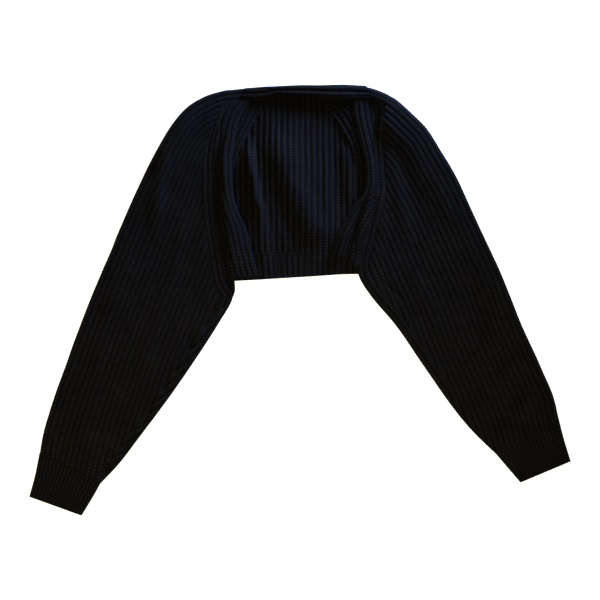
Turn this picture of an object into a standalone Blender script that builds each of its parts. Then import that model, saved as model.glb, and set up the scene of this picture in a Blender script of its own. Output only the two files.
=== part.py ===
"""A cropped knitted shrug with raglan sleeves, laid flat with its inside back showing.

Units are millimetres in the tables and metres in the meshes. X runs across the shrug, Y up the
back, Z up from the surface that it lies on. Every piece is a wall of cloth between an outer
and an inner sheet. The ribs are raised in the outer sheet, over a plain inner one.
"""
import math

import bmesh
import bpy
import numpy as np

MM = 0.001
WALL = 2.2
SEAM_GAP = 0.4
RAGLAN_GAP = 1.2
LAYER_GAP = 0.5
RIB_HEIGHT = 1.8
FINE_RIB_HEIGHT = 1.3
SLEEVE_RIB_PITCH = 8.4
BACK_RIB_PITCH = 8.4
SLEEVE_TOP = 7.5
UNDERARM_EDGE_TOP = 5.2
UNDERARM_ROUND = 9.0
SHOULDER_CREST = 34.0
SHOULDER_FALL = 26.0
CREST_TO_SEAM = 30.0
SLEEVE_ROWS = 18
CUFF_ROWS = 4
CUFF_RIBS = 17
BACK_ROWS = 13
HEM_ROWS = 3
HEM_RIBS = 26
FRONT_ROWS = 13
FRONT_LEFT_RIBS = 7
FRONT_RIGHT_RIBS = 5
NECKBAND_WALL = 2.6
NECKBAND_ROWS = 12
BACK_HEM_LINE = 70.0
SLEEVE_LINING_STEP = 12.6
FINE_SECTIONS = 600
EVEN_SECTIONS = 500
SEAM_STEPS = 300
FINE_FRONT = 120
RAGLAN_SHARE = 0.88
BACK_LINING_DROP = 1.2
FRONT_EXTRA_WALL = 0.3
ARMPIT_LEAD = 10
ARMPIT_FADE = 25
CUFF_LINING_SHARES = (0.07, 0.25, 0.5, 0.75, 1.0)
CUFF_UNDER_SHARES = (1.0, 0.75, 0.5, 0.25, 0.05, 0.012)

KNIT_COLOUR = (0.012, 0.012, 0.013, 1.0)
KNIT_ROUGHNESS = 0.95

# Sleeve sections from the neck to the cuff: the outer fold, the end of the top layer, the end of
# the under layer, and the height of the fold there.
# outer x, outer y, top x, top y, under x, under y, fold height
SLEEVE_LEFT = [
    (-85, 317, -92, 301.5, -52, 300.5, 8.0),
    (-100, 316, -112, 280, -61, 279, 9.0),
    (-116, 314, -124, 247, -74, 255, 9.6),
    (-145, 305, -130, 217, -91, 222, 9.5),
    (-173, 287, -130, 185, -101, 187, 9.5),
    (-199, 254, -130, 154, -106, 149, 9.0),
    (-224, 209, -127, 119, -107, 113, 8.5),
    (-248, 160, -121, 82, -104, 74, 8.0),
    (-274, 100, -112, 30, -98, 25, 8.0),
    (-284, 74, -101, 4, -101, 4, 8.0),
    (-304, 29, -124, -38, -124, -38, 8.0),
    (-328, -31, -161, -95, -161, -95, 8.0),
    (-350, -91, -200, -151, -200, -151, 8.0),
    (-371, -151, -239, -203, -239, -203, 8.0),
    (-385, -196, -271, -245, -271, -245, 7.6),
    (-391, -228, -300, -276, -300, -276, 7.0),
]
SLEEVE_RIGHT = [
    (98, 320.5, 99, 318.5, 31, 300.5, 15.0),
    (109, 317.5, 104, 309, 41, 285, 16.0),
    (121, 313, 109, 300, 52, 270, 17.0),
    (131, 308.5, 110, 281, 63, 252.5, 17.5),
    (138, 304.5, 109, 257, 73.5, 233, 17.5),
    (147, 298.8, 108, 229, 82, 209, 17.5),
    (165, 283, 110, 199, 89, 180, 17.0),
    (190, 258, 112, 167, 92, 149, 16.0),
    (212, 224, 107, 140, 95, 112, 14.0),
    (238, 179, 98, 104, 95, 79, 11.0),
    (263, 125, 86, 47, 92, 34, 9.0),
    (280, 88, 106, 7, 106, 7, 8.5),
    (307, 29, 146, -41, 146, -41, 8.0),
    (332, -34, 185, -98, 185, -98, 8.0),
    (358, -91, 227, -158, 227, -158, 8.0),
    (379, -140, 259, -197, 259, -197, 7.6),
    (388, -175, 295, -232, 295, -232, 7.0),
]
# The table rows where the neck edge meets the front seam, and where the sleeve leaves the body.
LEFT_NECK_ROW = 0
LEFT_ARMPIT_ROW = 8
RIGHT_NECK_ROW = 2
RIGHT_ARMPIT_ROW = 10
# Cuff sections: the outer fold, the inner edge and the height.
# outer x, outer y, inner x, inner y, height
CUFF_LEFT = [
    (-391, -228, -300, -276, 6.8),
    (-398, -263, -313, -299, 6.6),
    (-407, -295, -328, -323.7, 6.4),
]
CUFF_RIGHT = [
    (388, -175, 295, -232, 6.8),
    (396, -207, 312, -252, 6.6),
    (407, -242, 331, -274, 6.4),
]
# Largest folds: a ridge along each line, with its height and half its width.
SLEEVE_LEFT_FOLDS = [
    ([(-150, 285), (-202, 224), (-212, 164), (-221, 96)], 3.6, 17.0),
    ([(-136, 205), (-142, 120), (-150, 40)], 1.8, 14.0),
]
SLEEVE_RIGHT_FOLDS = [
    ([(125, 250), (140, 205), (150, 150), (165, 90)], 2.4, 18.0),
    ([(110, 215), (122, 150), (118, 95)], 1.6, 14.0),
]
BACK_FOLDS = [
    ([(-84, 252), (-76, 202), (-62, 142), (-50, 96), (-45, 45), (-43, -15)], 10.0, 13.5),
    ([(-30, 290), (8, 190), (36, 122), (48, 75)], 6.0, 50.0),
    ([(66, 240), (74, 190), (74, 138)], 4.0, 14.0),
]
# Front sections from neck to hem, each across from the raglan seam to the free edge.
# x, y, height of the cloth's face, five times
FRONT_LEFT = [
    (-92.8, 300.2, 9, -88, 299.8, 9.5, -83, 299.5, 9, -78, 299.2, 8, -73.5, 299, 6.5),
    (-112, 276, 9, -107, 274.5, 10, -102, 273, 10, -97, 271.5, 9, -91, 270, 7),
    (-123, 246, 9, -120, 245, 8.5, -116, 242, 9, -109, 239, 12, -98, 236, 8.5),
    (-129, 216, 9, -126, 215, 8.5, -122, 213, 9, -113, 212, 15, -101, 209, 10),
    (-129, 184, 9, -126, 182, 8, -122, 181, 8.2, -113, 178, 17.5, -101, 174, 12),
    (-129, 153, 9, -125, 151, 8, -121, 149, 8, -112, 145, 17.5, -95, 140, 11),
    (-126, 118, 9, -122, 116, 8, -118, 115, 8, -107, 110, 16.5, -81, 109, 10),
    (-120, 81, 9, -116, 79, 8, -112, 77, 8, -102, 74, 15, -72, 74, 9),
    (-111, 34, 8, -108, 33, 8, -105, 32, 8, -96, 33, 12, -62, 37, 8),
]
FRONT_RIGHT = [
    (108.6, 299.2, 12, 101, 299.2, 12, 94, 299.2, 11.5, 86, 299.2, 10, 79, 299.2, 7),
    (109.5, 279, 11, 102, 278.5, 12, 95, 278, 11.5, 88, 277.5, 10, 81, 277, 7),
    (108, 256, 10, 103, 255, 12.5, 97, 254, 12, 91, 254, 10, 86, 253, 7.5),
    (107, 228, 10, 104, 226, 13, 100, 226, 13, 96, 225, 11, 93, 224, 8),
    (109, 198, 10, 107, 197, 13, 104, 196, 13.5, 101, 196, 12, 98, 196, 9),
    (111, 166, 10, 107, 165, 13.5, 103, 164, 12, 99, 163, 12.5, 96, 163, 10),
    (106, 139, 10, 100, 139, 14, 92, 139, 9, 86, 139, 13.5, 79, 138, 10),
    (97, 103, 9.5, 90, 103, 13.5, 81, 103, 8.2, 70, 103, 14, 59, 103, 10),
    (91, 84, 9, 83, 83, 12.5, 74, 83, 8.2, 62, 85, 13, 52, 86, 9.5),
    (85, 49, 8.5, 77, 56, 11, 68, 63, 8.2, 57, 66, 12, 46, 70, 8.5),
]
# Neckband sections from the centre-back join outwards.
# outer x, outer y, inner x, inner y, foot height, band height
NECKBAND_LEFT = [
    (21, 322, 21, 304, 0.0, 18),
    (-2, 322, -2, 305, 0.0, 18),
    (-25, 321, -25, 306, 0.0, 17),
    (-38, 320.4, -38, 305, 0.0, 16),
    (-50, 319.8, -49, 303.2, 2.8, 15.5),
    (-62, 319, -61, 301, 3.0, 13.5),
    (-73, 318.2, -75, 300.6, 3.0, 11.5),
    (-80.2, 317.6, -86.8, 301.4, 3.0, 10),
]
NECKBAND_RIGHT = [
    (22.3, 322, 22.3, 304, 0.0, 18),
    (34, 322, 34, 302, 3.0, 18),
    (50, 322.5, 50, 300.6, 3.0, 18),
    (66, 322.8, 68, 300.4, 3.0, 18),
    (81, 322, 87, 300.4, 3.0, 17),
    (89.6, 320.9, 101.8, 300.5, 3.4, 17),
]
# The neckband's face across its width, as a share of the width and of the height: two rolled ribs.
BAND_FACE = [
    (0.0, 0.0),
    (0.03, 0.55),
    (0.14, 0.86),
    (0.30, 0.97),
    (0.44, 0.90),
    (0.52, 0.80),
    (0.62, 0.93),
    (0.78, 1.0),
    (0.92, 0.80),
    (1.0, 0.0),
]
BAND_LINING = [(0.0, 0.0), (0.10, 0.72), (0.5, 0.92), (0.90, 0.80), (1.0, 0.0)]
# The back's upper edge below the neckband, between the two raglan seams.
# x, y
NECK_SEAM = [
    (-50.0, 301.2),
    (-46, 302.6),
    (-25, 305.2),
    (-2, 304.3),
    (21, 303.3),
    (28.4, 301.2),
]
# The hem's lower edge.
# x, y
HEM_EDGE = [(-97.6, 28.5), (-60, 30.5), (-20, 33), (20, 35.5), (60, 38.3), (91, 39)]


def smooth_step(value):
    clipped = np.clip(value, 0.0, 1.0)
    return clipped * clipped * (3 - 2 * clipped)


def along(table, place):
    """A table's row at a place from 0 to 1, on a smooth curve through its rows."""
    rows = np.asarray(table, float)
    last = len(rows) - 1
    position = np.clip(np.asarray(place, float), 0.0, 1.0) * last
    index = np.minimum(position.astype(int), last - 1)
    t = (position - index)[..., None]
    before = rows[np.maximum(index - 1, 0)]
    start = rows[index]
    end = rows[index + 1]
    after = rows[np.minimum(index + 2, last)]
    return 0.5 * (
        2 * start
        + (end - before) * t
        + (2 * before - 5 * start + 4 * end - after) * t**2
        + (3 * start - before - 3 * end + after) * t**3
    )


def fold_height(x, y, folds):
    """How far the largest folds lift the cloth at a point: a soft ridge along each line."""
    height = np.zeros(np.shape(x))
    for line, top, half_width in folds:
        nearest = np.full(np.shape(x), np.inf)
        share_along = np.zeros(np.shape(x))
        for step in range(len(line) - 1):
            start = np.array(line[step], float)
            run = np.array(line[step + 1], float) - start
            share = ((x - start[0]) * run[0] + (y - start[1]) * run[1]) / (run @ run)
            share = np.clip(share, 0.0, 1.0)
            distance = np.hypot(x - start[0] - share * run[0], y - start[1] - share * run[1])
            closer = distance < nearest
            nearest = np.where(closer, distance, nearest)
            share_along = np.where(closer, (step + share) / (len(line) - 1), share_along)
        ends = smooth_step(share_along / 0.25) * smooth_step((1 - share_along) / 0.25)
        height += top * (1 - smooth_step(nearest / half_width)) * (0.15 + 0.85 * ends)
    return height


def zip_borders(outer, outer_at, inner, inner_at):
    """Triangles between two borders whose points lie at the given places along them."""
    faces = []
    a = 0
    b = 0
    while a < len(outer) - 1 or b < len(inner) - 1:
        outer_next = outer_at[a + 1] if a < len(outer) - 1 else math.inf
        inner_next = inner_at[b + 1] if b < len(inner) - 1 else math.inf
        if outer_next <= inner_next:
            faces.append((outer[a], outer[a + 1], inner[b]))
            a += 1
        else:
            faces.append((outer[a], inner[b + 1], inner[b]))
            b += 1
    return faces


def sheet_faces(grid):
    """The quads of a sheet, from its grid of vertices."""
    return [
        (grid[r][c], grid[r][c + 1], grid[r + 1][c + 1], grid[r + 1][c])
        for r in range(len(grid) - 1)
        for c in range(len(grid[0]) - 1)
    ]


def cloth_wall(name, outer, outer_at, inner, inner_at, collection, material):
    """One closed piece of cloth: an outer and an inner sheet, joined all round their borders.

    Both sheets are arrays of rows, columns and x, y, z in millimetres, with as many rows.
    """
    bm = bmesh.new()
    outer_grid = [[bm.verts.new(point * MM) for point in row] for row in outer]
    inner_grid = [[bm.verts.new(point * MM) for point in row] for row in inner]
    faces = sheet_faces(outer_grid) + sheet_faces(inner_grid)
    for row in (0, -1):
        faces += zip_borders(outer_grid[row], outer_at, inner_grid[row], inner_at)
    for column in (0, -1):
        for r in range(len(outer) - 1):
            faces.append(
                (
                    outer_grid[r][column],
                    outer_grid[r + 1][column],
                    inner_grid[r + 1][column],
                    inner_grid[r][column],
                )
            )
    for face in faces:
        bm.faces.new(face)
    bmesh.ops.recalc_face_normals(bm, faces=bm.faces)
    if bm.calc_volume(signed=True) < 0:
        bmesh.ops.reverse_faces(bm, faces=bm.faces)
    mesh = bpy.data.meshes.new(name)
    bm.to_mesh(mesh)
    bm.free()
    mesh.materials.append(material)
    piece = bpy.data.objects.new(name, mesh)
    collection.objects.link(piece)
    return piece


def knit_material(name):
    material = bpy.data.materials.new(name)
    material.use_nodes = True
    shader = material.node_tree.nodes["Principled BSDF"]
    shader.inputs["Base Color"].default_value = KNIT_COLOUR
    shader.inputs["Roughness"].default_value = KNIT_ROUGHNESS
    shader.inputs["Metallic"].default_value = 0.0
    return material


def sleeve_sections(table):
    """The table's sections at even steps along the outer fold, with each layer's width."""
    fine = along(table, np.linspace(0, 1, FINE_SECTIONS))
    steps = np.hypot(*np.diff(fine[:, :2], axis=0).T)
    length = np.concatenate([[0], np.cumsum(steps)])
    even = np.linspace(SEAM_GAP, length[-1] - SEAM_GAP / 2, EVEN_SECTIONS)
    rows = np.stack([np.interp(even, length, column) for column in fine.T], axis=1)
    top_width = np.hypot(*(rows[:, 2:4] - rows[:, :2]).T)
    under_width = np.hypot(*(rows[:, 4:6] - rows[:, :2]).T)
    return rows, top_width, under_width


def reach(width, offset):
    """The first and last section that is at least this wide: where one rib starts and ends."""
    wide = np.nonzero(width >= offset)[0]
    ends = []
    for index, beside in ((wide[0], wide[0] - 1), (wide[-1], wide[-1] + 1)):
        if beside < 0 or beside >= len(width):
            ends.append(float(index))
            continue
        share = (width[index] - offset) / (width[index] - width[beside])
        ends.append(index + share * (beside - index))
    return ends


def sleeve_point(rows, section, offset, columns):
    """The point of a section at an offset from the outer fold towards the layer's end."""
    index = np.arange(len(rows))
    at = np.stack([np.interp(section, index, rows[:, c]) for c in range(7)], axis=-1)
    run = at[..., columns] - at[..., :2]
    unit = run / np.linalg.norm(run, axis=-1, keepdims=True)
    return at[..., :2] + unit * offset, at[..., 6]


def through_corners(offsets, corners):
    """Column offsets with the nearest one moved onto each corner of a sleeve layer."""
    moved = np.array(offsets, float)
    for corner in corners:
        moved[np.argmin(abs(moved - corner))] = corner - 0.02
    return list(moved)


def sleeve(name, table, neck_row, folds, collection, material):
    """A sleeve: one sheet from the top layer, round the outer fold, to the under layer.

    The ribs keep their distance from the outer fold. They run out at the raglan seam and at the
    underarm, so each rib has its own length.
    """
    rows, top_width, under_width = sleeve_sections(table)
    armpit = int(np.argmax(top_width))
    share = np.linspace(0, 1, SLEEVE_ROWS)

    def top_column(offset, lining):
        first, last = reach(top_width, max(offset, 1.0))
        section = first + (last - first) * share
        place, loft = sleeve_point(rows, section, offset, slice(2, 4))
        radius = loft / 2
        width = np.interp(section, np.arange(len(rows)), top_width)
        crest = np.clip(width - CREST_TO_SEAM, 4.0, SHOULDER_CREST)
        roll = (loft - SLEEVE_TOP) * (1 - smooth_step((offset - crest) / SHOULDER_FALL))
        height = SLEEVE_TOP + roll + fold_height(place[:, 0], place[:, 1], folds)
        to_edge = width - offset
        below_armpit = smooth_step((section - armpit + ARMPIT_LEAD) / ARMPIT_FADE)
        drop = (1 - smooth_step(to_edge / UNDERARM_ROUND)) * below_armpit
        height -= drop * (height - UNDERARM_EDGE_TOP)
        if lining:
            height = np.maximum(height - WALL, WALL + LAYER_GAP)
        elif offset < radius.max():
            inside = np.clip(1 - offset / radius, 0, 1)
            height = radius + (height - radius) * np.sqrt(1 - inside**2)
        return np.column_stack([place, height])

    def under_column(offset, lining):
        first, last = reach(under_width, max(offset, 1.0))
        section = first + (last - first) * share
        place, loft = sleeve_point(rows, section, offset, slice(4, 6))
        radius = loft / 2
        inside = np.clip(1 - offset / radius, 0, 1)
        height = radius * (1 - np.sqrt(1 - inside**2))
        if lining:
            height = np.full(len(place), WALL)
        return np.column_stack([place, height])

    top_widest = top_width.max() - 1.0
    under_widest = under_width.max() - 1.0
    half_rib = SLEEVE_RIB_PITCH / 2
    top_offsets = [half_rib * k for k in range(1, int(top_widest / half_rib))] + [top_widest]
    neck = np.array(table[neck_row], float)
    top_corners = (math.hypot(*(neck[2:4] - neck[:2])), top_width[-1])
    top_offsets = through_corners(top_offsets, top_corners)
    under_steps = int(under_widest / SLEEVE_LINING_STEP)
    under_wide = [under_widest * k / under_steps for k in range(under_steps, 0, -1)]
    under_wide = through_corners(under_wide, (under_width[0], under_width[-1]))
    under_offsets = under_wide + [half_rib, half_rib / 4]
    outer = [under_column(offset, False) for offset in under_offsets]
    fold_column = len(outer)
    outer.append(top_column(0.0, False))
    for k, offset in enumerate(top_offsets, start=1):
        column = top_column(offset, False)
        if k % 2 and k < len(top_offsets):
            column[:, 2] += RIB_HEIGHT
        outer.append(column)
    lining_steps = int(top_widest / SLEEVE_LINING_STEP)
    lining_wide = [top_widest * k / lining_steps for k in range(1, lining_steps + 1)]
    lining_top = [SLEEVE_RIB_PITCH] + through_corners(lining_wide, top_corners)
    lining_under = under_wide + [SLEEVE_RIB_PITCH]
    inner = [under_column(offset, True) for offset in lining_under]
    fold = top_column(WALL, False)
    fold[:, 2] = outer[fold_column][:, 2]
    inner.append(fold)
    inner += [top_column(offset, True) for offset in lining_top]
    outer_at = [-offset for offset in under_offsets] + [0.0] + top_offsets
    inner_at = [-offset for offset in lining_under] + [0.0] + lining_top
    outer = np.stack(outer, axis=1)
    inner = np.stack(inner, axis=1)
    return cloth_wall(name, outer, outer_at, inner, inner_at, collection, material)


def cuff(name, table, collection, material):
    """A cuff: the sleeve's form in a finer rib, with one opening at its end."""
    fine = along(table, np.linspace(0, 1, CUFF_ROWS))
    outer_edge = fine[:, 0:2]
    inner_edge = fine[:, 2:4]
    height = fine[:, 4]
    run = inner_edge - outer_edge
    length = np.linalg.norm(fine[-1, :2] - fine[0, :2])
    start_gap = (fine[-1, :2] - fine[0, :2]) / length * SEAM_GAP
    outer_edge[0] += start_gap
    steps = np.arange(2 * CUFF_RIBS + 1) / (2 * CUFF_RIBS)

    def column(share, top, lining):
        place = outer_edge + run * share
        width = np.linalg.norm(run, axis=1)
        offset = share * width
        radius = height / 2
        inside = np.clip(1 - offset / radius, 0, 1)
        round_off = np.sqrt(1 - inside**2)
        edge_round = 1 - smooth_step((1 - share) * width / UNDERARM_ROUND)
        if not top:
            level = np.full(len(place), WALL) if lining else radius * (1 - round_off)
            return np.column_stack([place, level])
        level = height - edge_round * (height - UNDERARM_EDGE_TOP)
        if lining:
            level = np.maximum(level - WALL, WALL + LAYER_GAP)
        else:
            level = radius + (level - radius) * round_off
        return np.column_stack([place, level])

    outer = [column(share, False, False) for share in CUFF_UNDER_SHARES]
    for k, share in enumerate(steps):
        line = column(share, True, False)
        if k % 2:
            line[:, 2] += FINE_RIB_HEIGHT
        outer.append(line)
    inner = [column(share, False, True) for share in CUFF_LINING_SHARES[::-1]]
    fold = column(WALL / np.linalg.norm(run[0]), True, True)
    fold[:, 2] = height / 2
    inner.append(fold)
    inner += [column(share, True, True) for share in CUFF_LINING_SHARES]
    outer_at = [-share for share in CUFF_UNDER_SHARES] + list(steps)
    inner_at = [-share for share in CUFF_LINING_SHARES[::-1]] + [0.0, *CUFF_LINING_SHARES]
    outer = np.stack(outer, axis=1)
    inner = np.stack(inner, axis=1)
    return cloth_wall(name, outer, outer_at, inner, inner_at, collection, material)


def seam_line(table, columns, side, first_row, last_row):
    """A sleeve layer's seam between two rows, moved a gap to the left or right of its run."""
    last = len(table) - 1
    line = along(table, np.linspace(first_row / last, last_row / last, SEAM_STEPS))[:, columns]
    run = np.gradient(line, axis=0)
    run /= np.linalg.norm(run, axis=1, keepdims=True)
    return line + np.column_stack([-run[:, 1], run[:, 0]]) * RAGLAN_GAP * side


def back_sides():
    """The back's left and right borders from the neck to the hem corners."""
    under = slice(4, 6)
    left = seam_line(SLEEVE_LEFT, under, 1, 0, LEFT_ARMPIT_ROW + 1)
    right = seam_line(SLEEVE_RIGHT, under, -1, 0, RIGHT_ARMPIT_ROW + 1)
    return left, right


def side_x(line, y):
    return np.interp(y, line[::-1, 1], line[::-1, 0])


def back(name, collection, material):
    """The back panel, face up: upright ribs between the raglan seams, down to the hem line."""
    left_side, right_side = back_sides()
    raglan = int(len(left_side) * RAGLAN_SHARE)
    left_waist = int(np.argmin(left_side[:raglan, 0]))
    right_waist = int(np.argmax(right_side[:raglan, 0]))
    upper = np.concatenate([left_side[left_waist::-1], NECK_SEAM, right_side[: right_waist + 1]])
    left_x = upper[0, 0]
    right_x = upper[-1, 0]
    share = np.linspace(0, 1, BACK_ROWS)
    count = 2 * int((right_x - left_x) / BACK_RIB_PITCH)

    def column(u, lining):
        top_y = np.interp(left_x + (right_x - left_x) * u, upper[:, 0], upper[:, 1])
        y = top_y + (BACK_HEM_LINE + SEAM_GAP / 2 - top_y) * share
        left = np.where(y > left_side[left_waist, 1], left_x, side_x(left_side, y))
        right = np.where(y > right_side[right_waist, 1], right_x, side_x(right_side, y))
        x = left + (right - left) * u
        lift = fold_height(x, y, BACK_FOLDS)
        if lining:
            return np.column_stack([x, y, np.maximum(lift - BACK_LINING_DROP, 0.0)])
        return np.column_stack([x, y, WALL + lift])

    outer_at = np.arange(count + 1) / count
    outer = np.stack([column(u, False) for u in outer_at], axis=1)
    outer[:, 1::2, 2] += RIB_HEIGHT
    inner_at = np.arange(count // 2 + 1) / (count // 2)
    inner = np.stack([column(u, True) for u in inner_at], axis=1)
    return cloth_wall(name, outer, outer_at, inner, inner_at, collection, material)


def back_hem(name, collection, material):
    """The hem: a finer rib below the back, which the back's left fold runs through."""
    edge = np.array(HEM_EDGE, float)
    left_side, right_side = back_sides()
    share = np.linspace(0, 1, HEM_ROWS)

    def column(u, lining):
        low_y = np.interp(edge[0, 0] + (edge[-1, 0] - edge[0, 0]) * u, edge[:, 0], edge[:, 1])
        y = BACK_HEM_LINE - SEAM_GAP / 2 + (low_y - BACK_HEM_LINE) * share
        left = side_x(left_side, y)
        right = side_x(right_side, y)
        x = left + (right - left) * u
        lift = fold_height(x, y, BACK_FOLDS)
        if lining:
            return np.column_stack([x, y, np.maximum(lift - BACK_LINING_DROP, 0.0)])
        return np.column_stack([x, y, WALL + lift])

    outer_at = np.arange(2 * HEM_RIBS + 1) / (2 * HEM_RIBS)
    outer = np.stack([column(u, False) for u in outer_at], axis=1)
    outer[:, 1::2, 2] += FINE_RIB_HEIGHT
    inner_at = np.arange(HEM_RIBS + 1) / HEM_RIBS
    inner = np.stack([column(u, True) for u in inner_at], axis=1)
    return cloth_wall(name, outer, outer_at, inner, inner_at, collection, material)


def evenly(line, shares):
    """Points at the given shares of a line's length."""
    steps = np.linalg.norm(np.diff(line, axis=0), axis=1)
    length = np.concatenate([[0], np.cumsum(steps)])
    return np.column_stack([np.interp(shares * length[-1], length, axis) for axis in line.T])


def front(name, table, seam, ribs, collection, material):
    """A narrow front: sections with a valley beside the raglan seam and a raised fold."""
    rows = along(table, np.linspace(0, 1, FRONT_ROWS)).reshape(FRONT_ROWS, -1, 3)
    for row in rows:
        nearest = np.argmin(np.hypot(*(seam - row[0, :2]).T))
        row[0, :2] = seam[nearest]
    steps = np.arange(2 * ribs + 1) / (2 * ribs)
    outer = np.stack([evenly(along(row, np.linspace(0, 1, FINE_FRONT)), steps) for row in rows])
    pitch = np.linalg.norm(np.diff(outer, axis=1), axis=2).sum(axis=1) / ribs
    relief = RIB_HEIGHT * np.clip(pitch / SLEEVE_RIB_PITCH, 0.4, 1.0)
    inner = outer.copy()
    inner[..., 2] -= WALL + FRONT_EXTRA_WALL
    outer[:, 1::2, 2] += relief[:, None]
    return cloth_wall(name, outer, steps, inner, steps, collection, material)


def neckband(name, table, collection, material):
    """Half of the neck rib: a band rolled over along its length, standing on its two feet."""
    rows = along(table, np.linspace(0, 1, NECKBAND_ROWS))
    outer_foot = rows[:, 0:2]
    inner_foot = rows[:, 2:4]
    width = np.linalg.norm(outer_foot - inner_foot, axis=1)
    across = (outer_foot - inner_foot) / width[:, None]
    base = np.maximum(rows[:, 4], 0.0)
    height = rows[:, 5]

    def sheet(profile, wall):
        columns = []
        for share, level in profile:
            offset = wall + (width - 2 * wall) * share
            place = inner_foot + across * offset[:, None]
            columns.append(np.column_stack([place, base + (height - base - wall) * level]))
        return np.stack(columns, axis=1)

    return cloth_wall(
        name,
        sheet(BAND_FACE, 0.0),
        [share for share, level in BAND_FACE],
        sheet(BAND_LINING, NECKBAND_WALL),
        [share for share, level in BAND_LINING],
        collection,
        material,
    )


def build():
    for existing in list(bpy.data.objects):
        bpy.data.objects.remove(existing)
    collection = bpy.data.collections.new("knitted_shrug")
    bpy.context.scene.collection.children.link(collection)
    back("back", collection, knit_material("back_rib_knit"))
    back_hem("back_hem", collection, knit_material("hem_rib_knit"))
    top = slice(2, 4)
    seam = seam_line(SLEEVE_LEFT, top, 1, LEFT_NECK_ROW, LEFT_ARMPIT_ROW)
    material = knit_material("front_left_knit")
    front("front_left", FRONT_LEFT, seam, FRONT_LEFT_RIBS, collection, material)
    seam = seam_line(SLEEVE_RIGHT, top, -1, RIGHT_NECK_ROW, RIGHT_ARMPIT_ROW)
    material = knit_material("front_right_knit")
    front("front_right", FRONT_RIGHT, seam, FRONT_RIGHT_RIBS, collection, material)
    material = knit_material("sleeve_left_knit")
    sleeve("sleeve_left", SLEEVE_LEFT, LEFT_NECK_ROW, SLEEVE_LEFT_FOLDS, collection, material)
    material = knit_material("sleeve_right_knit")
    sleeve("sleeve_right", SLEEVE_RIGHT, RIGHT_NECK_ROW, SLEEVE_RIGHT_FOLDS, collection, material)
    cuff("cuff_left", CUFF_LEFT, collection, knit_material("cuff_left_knit"))
    cuff("cuff_right", CUFF_RIGHT, collection, knit_material("cuff_right_knit"))
    neckband("neckband_left", NECKBAND_LEFT, collection, knit_material("neckband_left_knit"))
    neckband("neckband_right", NECKBAND_RIGHT, collection, knit_material("neckband_right_knit"))


build()
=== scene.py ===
"""The looks of a cropped knitted shrug with raglan sleeves, laid flat and seen from above.

Tables are in millimetres, meshes in metres. X runs across the shrug, Y up its back, Z up.
"""

import math

import bmesh
import bpy
import numpy as np
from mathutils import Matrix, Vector


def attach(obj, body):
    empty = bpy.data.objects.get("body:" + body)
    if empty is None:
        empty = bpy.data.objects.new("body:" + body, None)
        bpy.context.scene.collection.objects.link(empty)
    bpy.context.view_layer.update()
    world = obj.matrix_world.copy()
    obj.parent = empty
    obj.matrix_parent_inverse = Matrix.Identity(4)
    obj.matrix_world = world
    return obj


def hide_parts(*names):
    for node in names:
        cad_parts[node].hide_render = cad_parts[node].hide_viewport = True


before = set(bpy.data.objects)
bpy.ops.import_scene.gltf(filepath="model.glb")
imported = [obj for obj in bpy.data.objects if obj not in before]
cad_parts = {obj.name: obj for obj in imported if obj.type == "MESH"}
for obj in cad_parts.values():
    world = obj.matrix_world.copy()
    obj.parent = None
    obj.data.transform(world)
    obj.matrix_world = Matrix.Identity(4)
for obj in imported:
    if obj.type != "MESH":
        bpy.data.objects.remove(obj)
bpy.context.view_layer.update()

# The back panel. It is one panel of thick black wool in a full rib, knitted upright between the
# two raglan seams. Its inside faces up here, so narrow ridges stand between wider valleys. The
# sleeves' sections are given here, because their ends are its seams.
MM = 0.001
WALL = 2.2
SEAM_LAP = -0.7
HEM_LAP = 0.5
RIB_PITCH = 8.4
RIB_COLUMNS = 8
COURSE = 4.1
COURSE_ROWS = 4
RIB_DEPTH = 2.2
STITCH_DEPTH = 1.2
LEG_LEAN = 0.55
# How square a rib's top is and how round its sides are, and the width and foot of a ridge inside
RIB_SQUARE, RIB_ROUND, RIDGE_SHARE, RIDGE_FOOT = 2.6, 0.6, 0.52, 0.025
# The stitches' bars: roundness and middle level, then the notch where the V's two legs meet
BAR_ROUND, BAR_LEVEL, NOTCH_SHARE, NOTCH_DEPTH = 0.7, 0.6, 0.12, 0.3
# How much the ribs' heights differ from rib to rib, and along each rib
RIB_UNEVEN, RUN_UNEVEN = 0.07, 0.05
# A fold tapers over this share of its length at each end, down to this share of its height
FOLD_TAPER, FOLD_END_HEIGHT = 0.25, 0.15
BACK_RIBS = 23
BACK_ROWS = 56
BACK_LINING_ROWS = 30
BACK_ACROSS = 200.0
BACK_HEM_LINE = 70.0
BACK_LINING_RIB = 0.7
LINING_DROP = 1.2
FACE_SINK = 0.3
SEAM_SAMPLES = 300
RAGLAN_SHARE = 0.88
NEAREST_BLOCK = 4000
MERGE = 0.02
TINY = 1e-6
# outer x, outer y, top x, top y, under x, under y, fold height
SLEEVE_LEFT = [
    (-84, 317.8, -91, 303.5, -50.5, 304, 8.0),
    (-100, 316, -112, 280, -61, 279, 9.0),
    (-116, 314, -124, 247, -74, 255, 9.6),
    (-145, 305, -130, 217, -91, 222, 9.5),
    (-173, 287, -130, 185, -101, 187, 9.5),
    (-199, 254, -130, 154, -106, 149, 9.0),
    (-224, 209, -127, 119, -107, 113, 8.5),
    (-248, 160, -121, 82, -104, 74, 8.0),
    (-274, 100, -112, 30, -98, 25, 8.0),
    (-284, 74, -101, 4, -101, 4, 8.0),
    (-304, 29, -124, -38, -124, -38, 8.0),
    (-328, -31, -161, -95, -161, -95, 8.0),
    (-350, -91, -200, -151, -200, -151, 8.0),
    (-371, -151, -239, -203, -239, -203, 8.0),
    (-385, -196, -271, -245, -271, -245, 7.6),
    (-391, -228, -300, -276, -300, -276, 7.0),
]
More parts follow.
